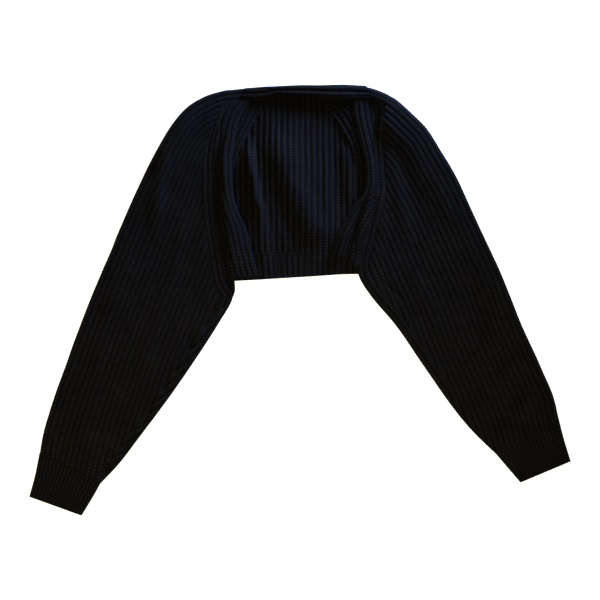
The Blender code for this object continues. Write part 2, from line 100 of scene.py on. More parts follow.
SLEEVE_RIGHT = [
    (98, 320.5, 99, 318.5, 29.5, 304, 15.0),
    (109, 317.5, 104, 309, 41, 285, 16.5),
    (121, 313, 109, 300, 52, 270, 18.0),
    (131, 308.5, 110, 281, 63, 252.5, 19.0),
    (138, 304.5, 109, 257, 73.5, 233, 19.5),
    (147, 298.8, 108, 229, 82, 209, 19.5),
    (165, 283, 110, 199, 89, 180, 19.0),
    (190, 258, 112, 167, 92, 149, 17.5),
    (212, 224, 107, 140, 95, 112, 15.0),
    (238, 179, 98, 104, 95, 79, 11.5),
    (263, 125, 86, 47, 92, 34, 9.0),
    (280, 88, 106, 7, 106, 7, 8.5),
    (307, 29, 146, -41, 146, -41, 8.0),
    (332, -34, 185, -98, 185, -98, 8.0),
    (358, -91, 227, -158, 227, -158, 8.0),
    (379, -140, 259, -197, 259, -197, 7.6),
    (388, -175, 295, -232, 295, -232, 7.0),
]
LEFT_NECK_ROW, LEFT_ARMPIT_ROW = 0, 8
RIGHT_NECK_ROW, RIGHT_ARMPIT_ROW = 2, 10
TOP_END, UNDER_END = slice(2, 4), slice(4, 6)
# The back's upper edge below the neckband: x, y
NECK_SEAM = [
    (-49.4, 305.0),
    (-46, 306.0),
    (-25, 307.5),
    (-2, 306.5),
    (21, 305.5),
    (28.6, 305.0),
]
# Each fold: points of its line, height, half width
BACK_FOLDS = [
    ([(-77, 238), (-74, 202), (-66, 157), (-58, 120)], 12.0, 12.0),
    ([(-70, 170), (-54, 96), (-49, 45), (-47, -15)], 4.0, 15.0),
    ([(-50, 275), (-17, 182), (10, 122), (20, 80)], 9.0, 33.0),
    ([(-30, 290), (8, 190), (36, 122), (48, 75)], 4.0, 46.0),
    ([(66, 240), (74, 190), (74, 138)], 5.0, 14.0),
    ([(-20, 285), (-8, 230), (2, 190)], 1.6, 15.0),
    ([(36, 250), (42, 190), (38, 120)], 1.5, 13.0),
    ([(-30, 120), (-22, 90), (-20, 74)], 1.8, 12.0),
]


def smooth_step(value):
    clipped = np.clip(value, 0.0, 1.0)
    return clipped * clipped * (3 - 2 * clipped)


def along(table, place):
    """A table's row at a place from 0 to 1, on a smooth curve through its rows."""
    rows = np.asarray(table, float)
    last = len(rows) - 1
    position = np.clip(np.asarray(place, float), 0.0, 1.0) * last
    index = np.minimum(position.astype(int), last - 1)
    t = (position - index)[..., None]
    before = rows[np.maximum(index - 1, 0)]
    start = rows[index]
    end = rows[index + 1]
    after = rows[np.minimum(index + 2, last)]
    return 0.5 * (
        2 * start
        + (end - before) * t
        + (2 * before - 5 * start + 4 * end - after) * t**2
        + (3 * start - before - 3 * end + after) * t**3
    )


def fold_height(x, y, folds):
    """How far the folds lift the cloth at a point: a soft ridge along each line."""
    height = np.zeros(np.shape(x))
    for line, top, half_width in folds:
        nearest = np.full(np.shape(x), np.inf)
        share_along = np.zeros(np.shape(x))
        for step in range(len(line) - 1):
            start = np.array(line[step], float)
            run = np.array(line[step + 1], float) - start
            share = ((x - start[0]) * run[0] + (y - start[1]) * run[1]) / (run @ run)
            share = np.clip(share, 0.0, 1.0)
            distance = np.hypot(x - start[0] - share * run[0], y - start[1] - share * run[1])
            closer = distance < nearest
            nearest = np.where(closer, distance, nearest)
            share_along = np.where(closer, (step + share) / (len(line) - 1), share_along)
        ends = smooth_step(share_along / FOLD_TAPER)
        ends = ends * smooth_step((1 - share_along) / FOLD_TAPER)
        taper = FOLD_END_HEIGHT + (1 - FOLD_END_HEIGHT) * ends
        height = height + top * (1 - smooth_step(nearest / half_width)) * taper
    return height


def run_along(line):
    """How far along a flat line each of its points lies."""
    return np.concatenate([[0.0], np.cumsum(np.hypot(*np.diff(line, axis=0).T))])


def nearest_on(line, x, y):
    """Each point's distance to a line, and its nearest point's place along it and row in it."""
    distance = np.empty(len(x))
    nearest = np.empty(len(x), int)
    for first in range(0, len(x), NEAREST_BLOCK):
        block = slice(first, first + NEAREST_BLOCK)
        gap_x = x[block, None] - line[None, :, 0]
        gap_y = y[block, None] - line[None, :, 1]
        gaps = gap_x**2 + gap_y**2
        nearest[block] = np.argmin(gaps, axis=1)
        distance[block] = np.sqrt(gaps.min(axis=1))
    return distance, run_along(line)[nearest], nearest


def from_crest(phase):
    """0 on the crest of a rib and 1 in the valleys beside it, which are at whole numbers."""
    return abs(2 * (phase % 1.0) - 1)


def rib_stitches(phase, run, depth=RIB_DEPTH, stitch=STITCH_DEPTH, inside=False):
    """The knit's height: ribs with a chain of V stitches on each, one V for each course."""
    side = from_crest(phase)
    if inside:
        rib = np.exp(-((side / RIDGE_SHARE) ** 2)) - RIDGE_FOOT
    else:
        rib = np.clip(1 - side**RIB_SQUARE, 0, 1) ** RIB_ROUND
    bars = abs(np.cos(math.pi * (run / COURSE + LEG_LEAN * side))) ** BAR_ROUND
    notch = np.where(side < NOTCH_SHARE, NOTCH_DEPTH, 0.0)
    uneven = 1 + RIB_UNEVEN * np.sin(12.9 * np.floor(phase))
    uneven = uneven + RUN_UNEVEN * np.sin(run / 23 + 5 * phase)
    return depth * rib * uneven + stitch * (bars - BAR_LEVEL - notch) * np.sqrt(rib + 0.02)


def lifted(points, relief):
    """Points moved outwards along the sheet's normal by the relief, all in millimetres."""
    normal = np.cross(np.gradient(points, axis=1), np.gradient(points, axis=0))
    high = points[..., 2] >= np.median(points[..., 2])
    if normal[high][:, 2].sum() < 0:
        normal = -normal
    size = np.linalg.norm(normal, axis=2, keepdims=True)
    up = np.array([0.0, 0.0, 1.0])
    normal = np.where(size > TINY, normal / np.maximum(size, TINY), up)
    return points + normal * relief[..., None]


def border(grid, side):
    """The vertices of one side of a sheet's grid."""
    if side in ("first row", "last row"):
        return grid[0 if side == "first row" else -1]
    return [row[0 if side == "first column" else -1] for row in grid]


def knitted_wall(name, face, lining, node, material):
    """A closed wall of cloth between a fine knitted face and a plain lining, as one object.

    Each sheet is an array of rows, columns and x, y, z, across and run, in millimetres.
    """
    bm = bmesh.new()
    layers = [bm.verts.layers.float.new(key) for key in ("across", "run")]
    grids = []
    for sheet in (face, lining):
        rows, columns = sheet.shape[:2]
        made = bmesh.ops.create_grid(bm, x_segments=columns - 1, y_segments=rows - 1, size=1.0)
        grid = [[None] * columns for _ in range(rows)]
        for vertex in made["verts"]:
            column = round((vertex.co.x + 1) / 2 * (columns - 1))
            row = round((vertex.co.y + 1) / 2 * (rows - 1))
            grid[row][column] = vertex
        for row in range(rows):
            for column in range(columns):
                vertex = grid[row][column]
                values = sheet[row, column]
                vertex.co = values[:3] * MM
                vertex[layers[0]] = values[3]
                vertex[layers[1]] = values[4]
        grids.append(grid)
    for side in ("first row", "last row", "first column", "last column"):
        edges = []
        for grid in grids:
            line = border(grid, side)
            edges += [bm.edges.get(pair) for pair in zip(line, line[1:])]
        bmesh.ops.bridge_loops(bm, edges=edges)
    bmesh.ops.remove_doubles(bm, verts=bm.verts, dist=MERGE * MM)
    bmesh.ops.recalc_face_normals(bm, faces=bm.faces)
    if bm.calc_volume(signed=True) < 0:
        bmesh.ops.reverse_faces(bm, faces=bm.faces)
    for polygon in bm.faces:
        polygon.smooth = True
    mesh = bpy.data.meshes.new(name)
    bm.to_mesh(mesh)
    bm.free()
    mesh.materials.append(material)
    piece = bpy.data.objects.new(name, mesh)
    bpy.context.scene.collection.objects.link(piece)
    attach(piece, "root")
    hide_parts(node)
    return piece


def with_knit(points, across, run):
    """A sheet's points with the knit's own coordinates beside them."""
    shape = points.shape[:2]
    return np.dstack([points, np.broadcast_to(across, shape), np.broadcast_to(run, shape)])


def linear(code):
    """A colour's linear values from its sRGB hex code."""
    values = [int(code[i : i + 2], 16) / 255 for i in (1, 3, 5)]
    return tuple(
        v / 12.92 if v <= 0.04045 else ((v + 0.055) / 1.055) ** 2.4 for v in values
    ) + (1.0,)


def add_node(material, kind, inputs=None, **settings):
    """Adds a node. Each input is a value or another node's output."""
    made = material.node_tree.nodes.new("ShaderNode" + kind)
    for key, value in settings.items():
        setattr(made, key, value)
    for key, value in (inputs or {}).items():
        if isinstance(value, bpy.types.NodeSocket):
            material.node_tree.links.new(value, made.inputs[key])
        else:
            made.inputs[key].default_value = value
    return made


# The yarn's colours between the stitches, where the dark one is also painted shade, on top of
# them and in the fuzz, and its finish
YARN_DARK_AND_SHADE, YARN_LIGHT, YARN_FUZZ = "#030303", "#252425", "#8d94a3"
YARN_ROUGHNESS, YARN_GLOSS, YARN_SHEEN, SHEEN_ROUGHNESS = 0.92, 0.06, 0.02, 0.5
# Painted shade: how much of the light colour is left deep between two ribs, and between two
# courses
VALLEY_SHADE, COURSE_SHADE = 0.18, 0.12
# The strands' lean, fineness and share of the relief, then the clumps and patches of fibres
STRAND_LEAN, STRAND_WAVE, STRAND_SHARE = 0.9, 8.0, 0.35
CLUMPS_PER_METRE, PATCHES_PER_METRE, PATCH_SHARE = 1250.0, 28.0, 0.35
FIBRE_BUMP, FIBRE_HEIGHT = 0.6, 0.0004


def rib_knit(name):
    """Brushed woollen yarn, dyed black: dull, with a faint pale fuzz where light grazes it.

    Real fibres are 0.03 mm thick. They are drawn as clumps 0.8 mm wide, so that they show.
    """
    material = bpy.data.materials.new(name)
    material.use_nodes = True
    shader = material.node_tree.nodes["Principled BSDF"]
    object_place = add_node(material, "TexCoord").outputs["Object"]
    across = add_node(material, "Attribute", attribute_name="across").outputs["Fac"]
    run = add_node(material, "Attribute", attribute_name="run").outputs["Fac"]
    # Where the point lies on its rib: 0 on the crest, 1 in the valley, where painted shade
    # darkens the colour.
    phase = add_node(material, "Math", {0: across, 1: RIB_PITCH}, operation="DIVIDE").outputs[0]
    share = add_node(material, "Math", {0: phase}, operation="FRACT").outputs[0]
    doubled = add_node(
        material, "Math", {0: share, 1: 2.0, 2: -1.0}, operation="MULTIPLY_ADD"
    ).outputs[0]
    side = add_node(material, "Math", {0: doubled}, operation="ABSOLUTE").outputs[0]
    painted_valley_shade = add_node(
        material, "MapRange", {0: side, 1: 0.5, 2: 0.98, 3: 1.0, 4: VALLEY_SHADE},
        interpolation_type="SMOOTHSTEP",
    ).outputs[0]
    # The V stitches: painted shade darkens a gap above each course, which leans with the stitch's
    # legs.
    turns = {0: run, 1: math.pi / COURSE, 2: math.pi / 2}
    course = add_node(material, "Math", turns, operation="MULTIPLY_ADD").outputs[0]
    lean = add_node(
        material, "Math", {0: side, 1: math.pi * LEG_LEAN, 2: course}, operation="MULTIPLY_ADD"
    ).outputs[0]
    beat = add_node(material, "Math", {0: lean}, operation="SINE").outputs[0]
    bars = add_node(material, "Math", {0: beat}, operation="ABSOLUTE").outputs[0]
    gap = add_node(
        material, "MapRange", {0: bars, 1: 0.1, 2: 0.85, 3: COURSE_SHADE, 4: 1.0}
    ).outputs[0]
    painted_shade = add_node(material, "Math", {0: painted_valley_shade, 1: gap}, operation="MULTIPLY").outputs[0]
    # Each leg's strands: fine lines that lean with it, about two to a millimetre and a half.
    leaning = add_node(
        material, "Math", {0: across, 1: STRAND_LEAN, 2: run}, operation="MULTIPLY_ADD"
    ).outputs[0]
    wave = add_node(
        material, "Math", {0: leaning, 1: STRAND_WAVE}, operation="MULTIPLY"
    ).outputs[0]
    strands = add_node(material, "Math", {0: wave}, operation="SINE").outputs[0]
    clumps = add_node(
        material, "TexNoise", {"Vector": object_place, "Scale": CLUMPS_PER_METRE, "Detail": 3.0}
    ).outputs["Fac"]
    patches = add_node(
        material, "TexNoise", {"Vector": object_place, "Scale": PATCHES_PER_METRE, "Detail": 4.0}
    ).outputs["Fac"]
    mixed = add_node(
        material, "Math", {0: patches, 1: PATCH_SHARE, 2: clumps}, operation="MULTIPLY_ADD"
    ).outputs[0]
    fuzz = add_node(material, "MapRange", {0: mixed, 1: 0.35, 2: 0.95}).outputs[0]
    # Painted shade from the valleys and course gaps, times the fibres' random tone, mixes the
    # dark and light colours.
    painted_shade_and_fuzz = add_node(material, "Math", {0: painted_shade, 1: fuzz}, operation="MULTIPLY").outputs[0]
    colours = {"Factor": painted_shade_and_fuzz, 6: linear(YARN_DARK_AND_SHADE), 7: linear(YARN_LIGHT)}
    colour = add_node(material, "Mix", colours, data_type="RGBA").outputs[2]
    material.node_tree.links.new(colour, shader.inputs["Base Color"])
    height = add_node(
        material, "Math", {0: strands, 1: STRAND_SHARE, 2: clumps}, operation="MULTIPLY_ADD"
    ).outputs[0]
    bump = add_node(
        material, "Bump", {"Strength": FIBRE_BUMP, "Distance": FIBRE_HEIGHT, "Height": height}
    ).outputs[0]
    material.node_tree.links.new(bump, shader.inputs["Normal"])
    shader.inputs["Roughness"].default_value = YARN_ROUGHNESS
    shader.inputs["Specular IOR Level"].default_value = YARN_GLOSS
    shader.inputs["Sheen Weight"].default_value = YARN_SHEEN
    shader.inputs["Sheen Roughness"].default_value = SHEEN_ROUGHNESS
    shader.inputs["Sheen Tint"].default_value = linear(YARN_FUZZ)
    return material


def seam_line(table, columns, gap, first_row, last_row):
    """A sleeve layer's seam between two rows, moved sideways from its run by a gap."""
    last = len(table) - 1
    line = along(table, np.linspace(first_row / last, last_row / last, SEAM_SAMPLES))[:, columns]
    run = np.gradient(line, axis=0)
    run /= np.linalg.norm(run, axis=1, keepdims=True)
    return line + np.column_stack([-run[:, 1], run[:, 0]]) * gap


def side_x(line, y):
    return np.interp(y, line[::-1, 1], line[::-1, 0])


left_side = seam_line(SLEEVE_LEFT, UNDER_END, SEAM_LAP, 0, LEFT_ARMPIT_ROW + 1)
right_side = seam_line(SLEEVE_RIGHT, UNDER_END, -SEAM_LAP, 0, RIGHT_ARMPIT_ROW + 1)
# Above these two points the back's sides are upright, and below them they follow the seams.
raglan = int(len(left_side) * RAGLAN_SHARE)
left_widest = int(np.argmin(left_side[:raglan, 0]))
right_widest = int(np.argmax(right_side[:raglan, 0]))
upper = np.concatenate([left_side[left_widest::-1], NECK_SEAM, right_side[: right_widest + 1]])


def back_sheet(columns, rows):
    """The back's flat places, and each column's share of its width."""
    u = np.linspace(0, 1, columns)[None, :]
    share = np.linspace(0, 1, rows)[:, None]
    left_x, right_x = upper[0, 0], upper[-1, 0]
    top_y = np.interp(left_x + (right_x - left_x) * u, upper[:, 0], upper[:, 1])
    y = top_y + (BACK_HEM_LINE - HEM_LAP - top_y) * share
    left = np.where(y > left_side[left_widest, 1], left_x, side_x(left_side, y))
    right = np.where(y > right_side[right_widest, 1], right_x, side_x(right_side, y))
    return left + (right - left) * u, y, u


body_knit = rib_knit("body_rib_knit")
x, y, u = back_sheet(BACK_RIBS * RIB_COLUMNS + 1, BACK_ROWS * COURSE_ROWS + 1)
# The ribs drift a little sideways on their way down.
phase = u * BACK_RIBS + 0.05 * np.sin(y / 31) + 0.04 * np.sin(y / 13 + 2)
face = np.dstack([x, y, WALL + fold_height(x, y, BACK_FOLDS)])
relief = rib_stitches(phase, y, depth=2.2, stitch=0.7, inside=True) - FACE_SINK
face = with_knit(lifted(face, relief), phase * RIB_PITCH, y)
x, y, u = back_sheet(BACK_RIBS * 2 + 1, BACK_LINING_ROWS)
lift = np.maximum(fold_height(x, y, BACK_FOLDS) - LINING_DROP, 0.0)
lining = np.dstack([x, y, lift + BACK_LINING_RIB * from_crest(u * BACK_RIBS)])
lining = with_knit(lining, u * BACK_ACROSS, y)
back = knitted_wall("back_panel", face, lining, "back", body_knit)

# The back's hem. It is a finer one-by-one rib, knitted on below the body rib, and it lies flat.
HEM_RIBS = 26
HEM_ROWS = 11
HEM_LINING_ROWS = 6
HEM_ACROSS = 180.0
HEM_LINING_RIB = 0.6
# The cast-off edge: x, y
HEM_EDGE = [(-97.6, 28.5), (-60, 30.5), (-20, 33), (20, 35.5), (60, 38.3), (91, 39)]


def hem_sheet(columns, rows):
    u = np.linspace(0, 1, columns)[None, :]
    share = np.linspace(0, 1, rows)[:, None]
    edge = np.array(HEM_EDGE, float)
    low_y = np.interp(edge[0, 0] + (edge[-1, 0] - edge[0, 0]) * u, edge[:, 0], edge[:, 1])
    y = BACK_HEM_LINE + HEM_LAP + (low_y - BACK_HEM_LINE - HEM_LAP) * share
    left, right = side_x(left_side, y), side_x(right_side, y)
    return left + (right - left) * u, y, u


hem_knit = rib_knit("fine_rib_knit")
x, y, u = hem_sheet(HEM_RIBS * RIB_COLUMNS + 1, HEM_ROWS * COURSE_ROWS + 1)
relief = rib_stitches(u * HEM_RIBS, y, depth=1.9, stitch=0.5) - FACE_SINK
face = np.dstack([x, y, WALL + fold_height(x, y, BACK_FOLDS)])
face = with_knit(lifted(face, relief), u * HEM_ACROSS, y)
x, y, u = hem_sheet(HEM_RIBS * 2 + 1, HEM_LINING_ROWS)
lift = np.maximum(fold_height(x, y, BACK_FOLDS) - LINING_DROP, 0.0)
lining = np.dstack([x, y, lift + HEM_LINING_RIB * from_crest(u * HEM_RIBS)])
lining = with_knit(lining, u * HEM_ACROSS, y)
hem = knitted_wall("back_hem_rib", face, lining, "back_hem", hem_knit)

# The sleeves. Each is one raglan panel of the same rib, folded along its outer side and sewn
# along the underarm. Its top and under layers lie on each other, with a soft roll at the fold.
SEAM_GAP = 0.4
SLEEVE_TOP = 7.5
SLEEVE_SAMPLES = 1500
LAYER_GAP = 0.5
SLEEVE_COLUMNS = 6
SLEEVE_UNDER_COLUMNS = 2
UNDER_RIB_DEPTH = 1.2
TOP_SINK = 0.6
# The lining's roll at the fold, as a share of the fold's radius
LINING_ROUND = 1.4
# The shoulder's crest lies this far from the fold, or nearer where the seam is near, then falls
SHOULDER_CREST, SHOULDER_FALL = 34.0, 36.0
CREST_TO_SEAM, LEAST_CREST = 38.0, 4.0
# The underarm's edge rounds off to this height, beginning some sections before the armpit
UNDERARM_EDGE_TOP, UNDERARM_ROUND, DENT_FLOOR = 5.6, 9.0, 1.4
EDGE_LEAD, EDGE_EASE = 12, 30
# The strip of ribs along the seam: how far in it can reach, its widths, and y of its two ends
STRIP_REACH, RAGLAN_STRIP, UNDERARM_STRIP = 34, 2 * RIB_PITCH, 14.5
STRIP_START, STRIP_END = 292.0, -120.0
START_EASE, END_EASE, STRIP_EASE = 10, 40, 24
STRIP_EDGE, STRIP_GONE = 1.2, 4
# The crease beside the strip
CREASE_DEPTH, CREASE_WIDTH, UNDERARM_CREASE_LOSS = 0.9, 1.6, 0.5
# The lining: its ribbed strip beside the back's seam, and its wider columns beyond
INSIDE_STRIP = 46.2
INSIDE_COLUMNS = 5
INSIDE_FADE_IN, INSIDE_FADE_OUT = 2, 4
BEYOND_COLUMNS = 7
LINING_STEP = 21.0
FOLD_STEP = 6.3
SLEEVE_LEFT_FOLDS = [
    ([(-150, 285), (-202, 224), (-212, 164), (-221, 96)], 4.0, 17.0),
    ([(-136, 205), (-142, 120), (-150, 40)], 2.2, 14.0),
    ([(-262, 60), (-290, -30), (-318, -110)], 1.6, 22.0),
    ([(-190, 40), (-214, -40), (-248, -120)], 1.8, 20.0),
    ([(-175, 130), (-185, 60), (-196, 10)], 1.3, 12.0),
    ([(-300, -130), (-330, -190), (-345, -235)], 1.3, 14.0),
]
INSIDE_FOLDS = [
    ([(68, 300), (82, 258), (92, 226)], 5.0, 20.0),
    ([(50, 292), (68, 247), (76, 222), (81, 185)], 3.5, 16.0),
    ([(-68, 300), (-84, 262), (-100, 225)], 2.5, 12.0),
]
SLEEVE_RIGHT_FOLDS = [
    ([(125, 250), (140, 205), (150, 150), (165, 90)], 2.6, 18.0),
    ([(110, 215), (122, 150), (118, 95)], 2.0, 14.0),
    ([(226, 150), (258, 70), (290, -10)], 1.5, 22.0),
    ([(160, 60), (190, 0), (215, -60)], 1.8, 18.0),
    ([(300, -60), (330, -120), (350, -170)], 1.4, 18.0),
    ([(196, 200), (214, 150), (232, 110)], 1.2, 14.0),
]
# Wedges pressed into the underarm's edge, where the cloth buckles, most of all on the left: x and
# y of both ends, depth, half width
UNDERARM_DENTS_LEFT = [
    (-102, 16, -121, -16, 5.5, 6.0),
    (-122, -6, -145, -48, 5.5, 6.5),
    (-160, -50, -176, -90, 5.0, 6.0),
    (-180, -84, -192, -116, 3.5, 4.5),
    (-192, -102, -207, -140, 5.5, 6.0),
    (-219, -148, -245, -200, 5.5, 6.5),
    (-246, -188, -256, -216, 3.5, 4.5),
    (-256, -206, -269, -240, 5.0, 5.5),
    (-276, -236, -298, -266, 5.5, 5.5),
]
UNDERARM_DENTS_RIGHT = [
    (128, 26, 152, 2, 1.8, 6.0),
    (150, -22, 166, -46, 1.2, 4.5),
    (188, -70, 204, -88, 1.5, 5.0),
    (236, -140, 262, -172, 1.3, 4.5),
    (268, -176, 302, -214, 1.6, 5.0),
]


def dent_depth(x, y, dents):
    depth = np.zeros(np.shape(x))
    for x0, y0, x1, y1, deep, half_width in dents:
        depth = np.maximum(depth, fold_height(x, y, [([(x0, y0), (x1, y1)], deep, half_width)]))
    return depth


def sleeve_rows(table):
    """Sections at even steps along the outer fold, four to a course, and how far along."""
    fine = along(table, np.linspace(0, 1, SLEEVE_SAMPLES))
    length = run_along(fine[:, :2])
    count = int(length[-1] / COURSE) * COURSE_ROWS
    run = np.linspace(SEAM_GAP, length[-1] - SEAM_GAP / 2, count + 1)
    return np.stack([np.interp(run, length, column) for column in fine.T], axis=1), run


def sleeve_sheet(rows, offsets, folds, dents, armpit, lining=False):
    """The places of a sleeve's columns, from the under layer's end (below 0) to the top's."""
    outer_end = rows[:, None, 0:2]
    top_run = rows[:, None, 2:4] - outer_end
    under_run = rows[:, None, 4:6] - outer_end
    top_width = np.linalg.norm(top_run, axis=2)
    under_width = np.linalg.norm(under_run, axis=2)
    loft = rows[:, None, 6]
    radius = loft / 2
    offset = np.clip(np.atleast_2d(offsets), -under_width, top_width)
    on_top = offset[..., None] >= 0
    unit = np.where(on_top, top_run / top_width[..., None], under_run / under_width[..., None])
    place = outer_end + unit * abs(offset)[..., None]
    x, y = place[..., 0], place[..., 1]
    section = np.arange(len(rows))[:, None]
    crest = np.clip(top_width - CREST_TO_SEAM, LEAST_CREST, SHOULDER_CREST)
    roll = (loft - SLEEVE_TOP) * (1 - smooth_step((offset - crest) / SHOULDER_FALL))
    height = SLEEVE_TOP + roll + fold_height(x, y, folds)
    below_armpit = smooth_step((section - armpit + EDGE_LEAD) / EDGE_EASE)
    drop = (1 - smooth_step((top_width - offset) / UNDERARM_ROUND)) * below_armpit
    height = height - drop * (height - UNDERARM_EDGE_TOP)
    height = np.maximum(height - dent_depth(x, y, dents), DENT_FLOOR)
    inside = np.clip(1 - abs(offset) / radius, 0, 1)
    if lining:
        top_face = np.maximum(height - WALL, WALL + LAYER_GAP)
        near_fold = smooth_step((abs(offset) - WALL) / (radius * LINING_ROUND))
        level = np.where(offset >= 0, radius + (top_face - radius) * near_fold, 0)
        level = np.where(offset < 0, radius + (WALL - radius) * near_fold, level)
        return np.dstack([x, y, level]), offset
    top_face = radius + (height - radius) * np.sqrt(1 - inside**2)
    under_face = radius * (1 - np.sqrt(1 - inside**2))
    return np.dstack([x, y, np.where(offset >= 0, top_face, under_face)]), offset


def slanted_strip(rows, edge, nearest, seam_gap, x, y):
    """Past the armpit the under half's ribs show, at the opposite slant to the seam.

    Each point is mirrored in the middle of the strip, and takes the rib that lies there.
    """
    normal = np.column_stack([x, y]) - edge[nearest]
    size = np.maximum(np.linalg.norm(normal, axis=1, keepdims=True), TINY)
    image = edge[nearest] + normal / size * (2 * UNDERARM_STRIP - seam_gap)[:, None]
    fold_gap, fold_run, _ = nearest_on(rows[:, 0:2], image[:, 0], image[:, 1])
    return fold_gap / RIB_PITCH, fold_run


def along_the_seam(rows, near, x, y, armpit, slanting):
    """The ribs that run along the seam, two down the raglan and fewer past the armpit.

    It gives their relief, the crease beside them, their share of the face, and their place in
    the knit: across and along.
    """
    edge = rows[:, 2:4]
    seam_gap, seam_run, nearest = nearest_on(edge, x, y)
    phase = seam_gap / RIB_PITCH
    strip = rib_stitches(phase, seam_run)
    section = np.broadcast_to(np.arange(len(rows))[:, None], near.shape)[near]
    past = smooth_step((section - armpit) / STRIP_EASE)
    last = smooth_step((STRIP_END - y) / END_EASE) * (not slanting)
    last = np.maximum(last, smooth_step((y - STRIP_START) / START_EASE))
    if slanting:
        under_phase, under_run = slanted_strip(rows, edge, nearest, seam_gap, x, y)
        strip = strip * (1 - past) + rib_stitches(under_phase, under_run) * past
        phase = np.where(past > 0.5, under_phase, phase)
        seam_run = np.where(past > 0.5, under_run, seam_run)
    width = RAGLAN_STRIP + (UNDERARM_STRIP - RAGLAN_STRIP) * past
    width = width * (1 - last) - STRIP_GONE * last
    share = smooth_step((width - seam_gap) / STRIP_EDGE + 0.5)
    crease = (CREASE_DEPTH - UNDERARM_CREASE_LOSS * past * (not slanting)) * (1 - last)
    crease = crease * np.exp(-(((seam_gap - width) / CREASE_WIDTH) ** 2))
    return strip, crease, share, phase, seam_run


def sleeve_face(rows, run, top_width, under_width, folds, dents, armpit, slanting):
    """The outside of both layers, with its stitches. The under layer's are pressed flatter."""
    step = RIB_PITCH / SLEEVE_COLUMNS
    top_columns = np.arange(0, math.ceil(top_width.max() / step) + 1) * step
    under_step = RIB_PITCH / SLEEVE_UNDER_COLUMNS
    under_columns = np.arange(math.ceil(under_width.max() / under_step), 1, -1) * -under_step
    offsets = np.concatenate([under_columns, np.arange(-2, 0) * step, top_columns])
    base, offset = sleeve_sheet(rows, offsets, folds, dents, armpit)
    x, y = base[..., 0], base[..., 1]
    run_knit = np.array(np.broadcast_to(run[:, None], offset.shape))
    # The ribs drift a little sideways on their way down the arm.
    drift = 0.06 * np.sin(run_knit / 41 + offset / 60) + 0.03 * np.sin(run_knit / 17)
    phase = offset / RIB_PITCH + drift
    relief = rib_stitches(phase, run_knit)
    across_knit = phase * RIB_PITCH
    near = (offset > 0) & (offset > top_width[:, None] - STRIP_REACH)
    strip, crease, share, strip_phase, seam_run = along_the_seam(
        rows, near, x[near], y[near], armpit, slanting
    )
    relief[near] = relief[near] * (1 - share) + strip * share - crease
    across_knit[near] = np.where(share > 0.5, strip_phase * RIB_PITCH, across_knit[near])
    run_knit[near] = np.where(share > 0.5, seam_run, run_knit[near])
    radius = rows[:, None, 6] / 2
    over = smooth_step((offset + radius) / (2 * radius))
    depth_share = (UNDER_RIB_DEPTH + (RIB_DEPTH - UNDER_RIB_DEPTH) * over) / RIB_DEPTH
    sunk = RIB_DEPTH * (1 - over) + TOP_SINK * over
    face = lifted(base, relief * depth_share - sunk * depth_share)
    face[..., 2] = np.maximum(face[..., 2], 0.0)
    return with_knit(face, across_knit, run_knit)


def sleeve_lining(rows, run, top_width, under_width, folds, dents, armpit):
    """The inside, which shows in the neck opening, with ribs along the back's seam there."""
    widths = under_width[:, None]
    from_seam = np.arange(0, INSIDE_STRIP, RIB_PITCH / INSIDE_COLUMNS)[None, :]
    spread = np.linspace(0, 1, BEYOND_COLUMNS)[None, 1:]
    beyond = INSIDE_STRIP + (widths - INSIDE_STRIP - FOLD_STEP) * spread
    under_at = -(widths - np.concatenate([from_seam + 0 * widths, beyond], axis=1))
    top_at = np.arange(1, math.ceil(top_width.max() / LINING_STEP) + 1) * LINING_STEP
    top_at = np.concatenate([[-FOLD_STEP / 2, 0.0, FOLD_STEP / 2, FOLD_STEP], top_at])
    offsets = np.concatenate([under_at, top_at[None, :] + 0 * widths], axis=1)
    lining, offset = sleeve_sheet(rows, offsets, folds, dents, armpit, lining=True)
    strip = from_seam.shape[1]
    fade = smooth_step(from_seam / INSIDE_FADE_IN)
    fade = fade * smooth_step((INSIDE_STRIP - from_seam) / INSIDE_FADE_OUT)
    ridges = rib_stitches(from_seam / RIB_PITCH, run, depth=2.0, stitch=0.4, inside=True)
    lining[:, :strip, 2] += ridges * fade
    near_seam = lining[:, :strip, 0], lining[:, :strip, 1]
    lining[:, :strip, 2] += fold_height(*near_seam, INSIDE_FOLDS) * fade
    # At the fold the lining stays a wall's thickness inside the face.
    fold = under_at.shape[1] + 1
    toward = lining[:, fold + 1, :2] - lining[:, fold, :2]
    toward /= np.linalg.norm(toward, axis=1, keepdims=True)
    lining[:, fold, :2] += toward * WALL
    offset[:, :strip] = from_seam
    return with_knit(lining, offset, run)


def sleeve(name, table, folds, dents, slanting, node, material):
    rows, run = sleeve_rows(table)
    top_width = np.hypot(*(rows[:, 2:4] - rows[:, :2]).T)
    under_width = np.hypot(*(rows[:, 4:6] - rows[:, :2]).T)
    armpit = int(np.argmax(top_width))
    face = sleeve_face(rows, run, top_width, under_width, folds, dents, armpit, slanting)
    courses = slice(None, None, COURSE_ROWS)
    lining = sleeve_lining(
        rows[courses], run[courses, None], top_width, under_width[courses], folds, dents,
        armpit / COURSE_ROWS,
    )
    piece = knitted_wall(name, face, lining, node, material)


sleeve_knit = rib_knit("sleeve_rib_knit")
sleeve(
    "sleeve_left_rib", SLEEVE_LEFT, SLEEVE_LEFT_FOLDS, UNDERARM_DENTS_LEFT, True,
    "sleeve_left", sleeve_knit,
)
sleeve(
    "sleeve_right_rib", SLEEVE_RIGHT, SLEEVE_RIGHT_FOLDS, UNDERARM_DENTS_RIGHT, False,
    "sleeve_right", sleeve_knit,
)

# The cuffs. Each is the sleeve's own tube carried on in a finer, tighter rib. It is flat, closed
# along both sides and open at the wrist, where the cast-off edge shows the cloth's thickness.
CUFF_RIBS = 17
CUFF_UNDER_COLUMNS = 3
CUFF_COURSE_LENGTH = 3.4
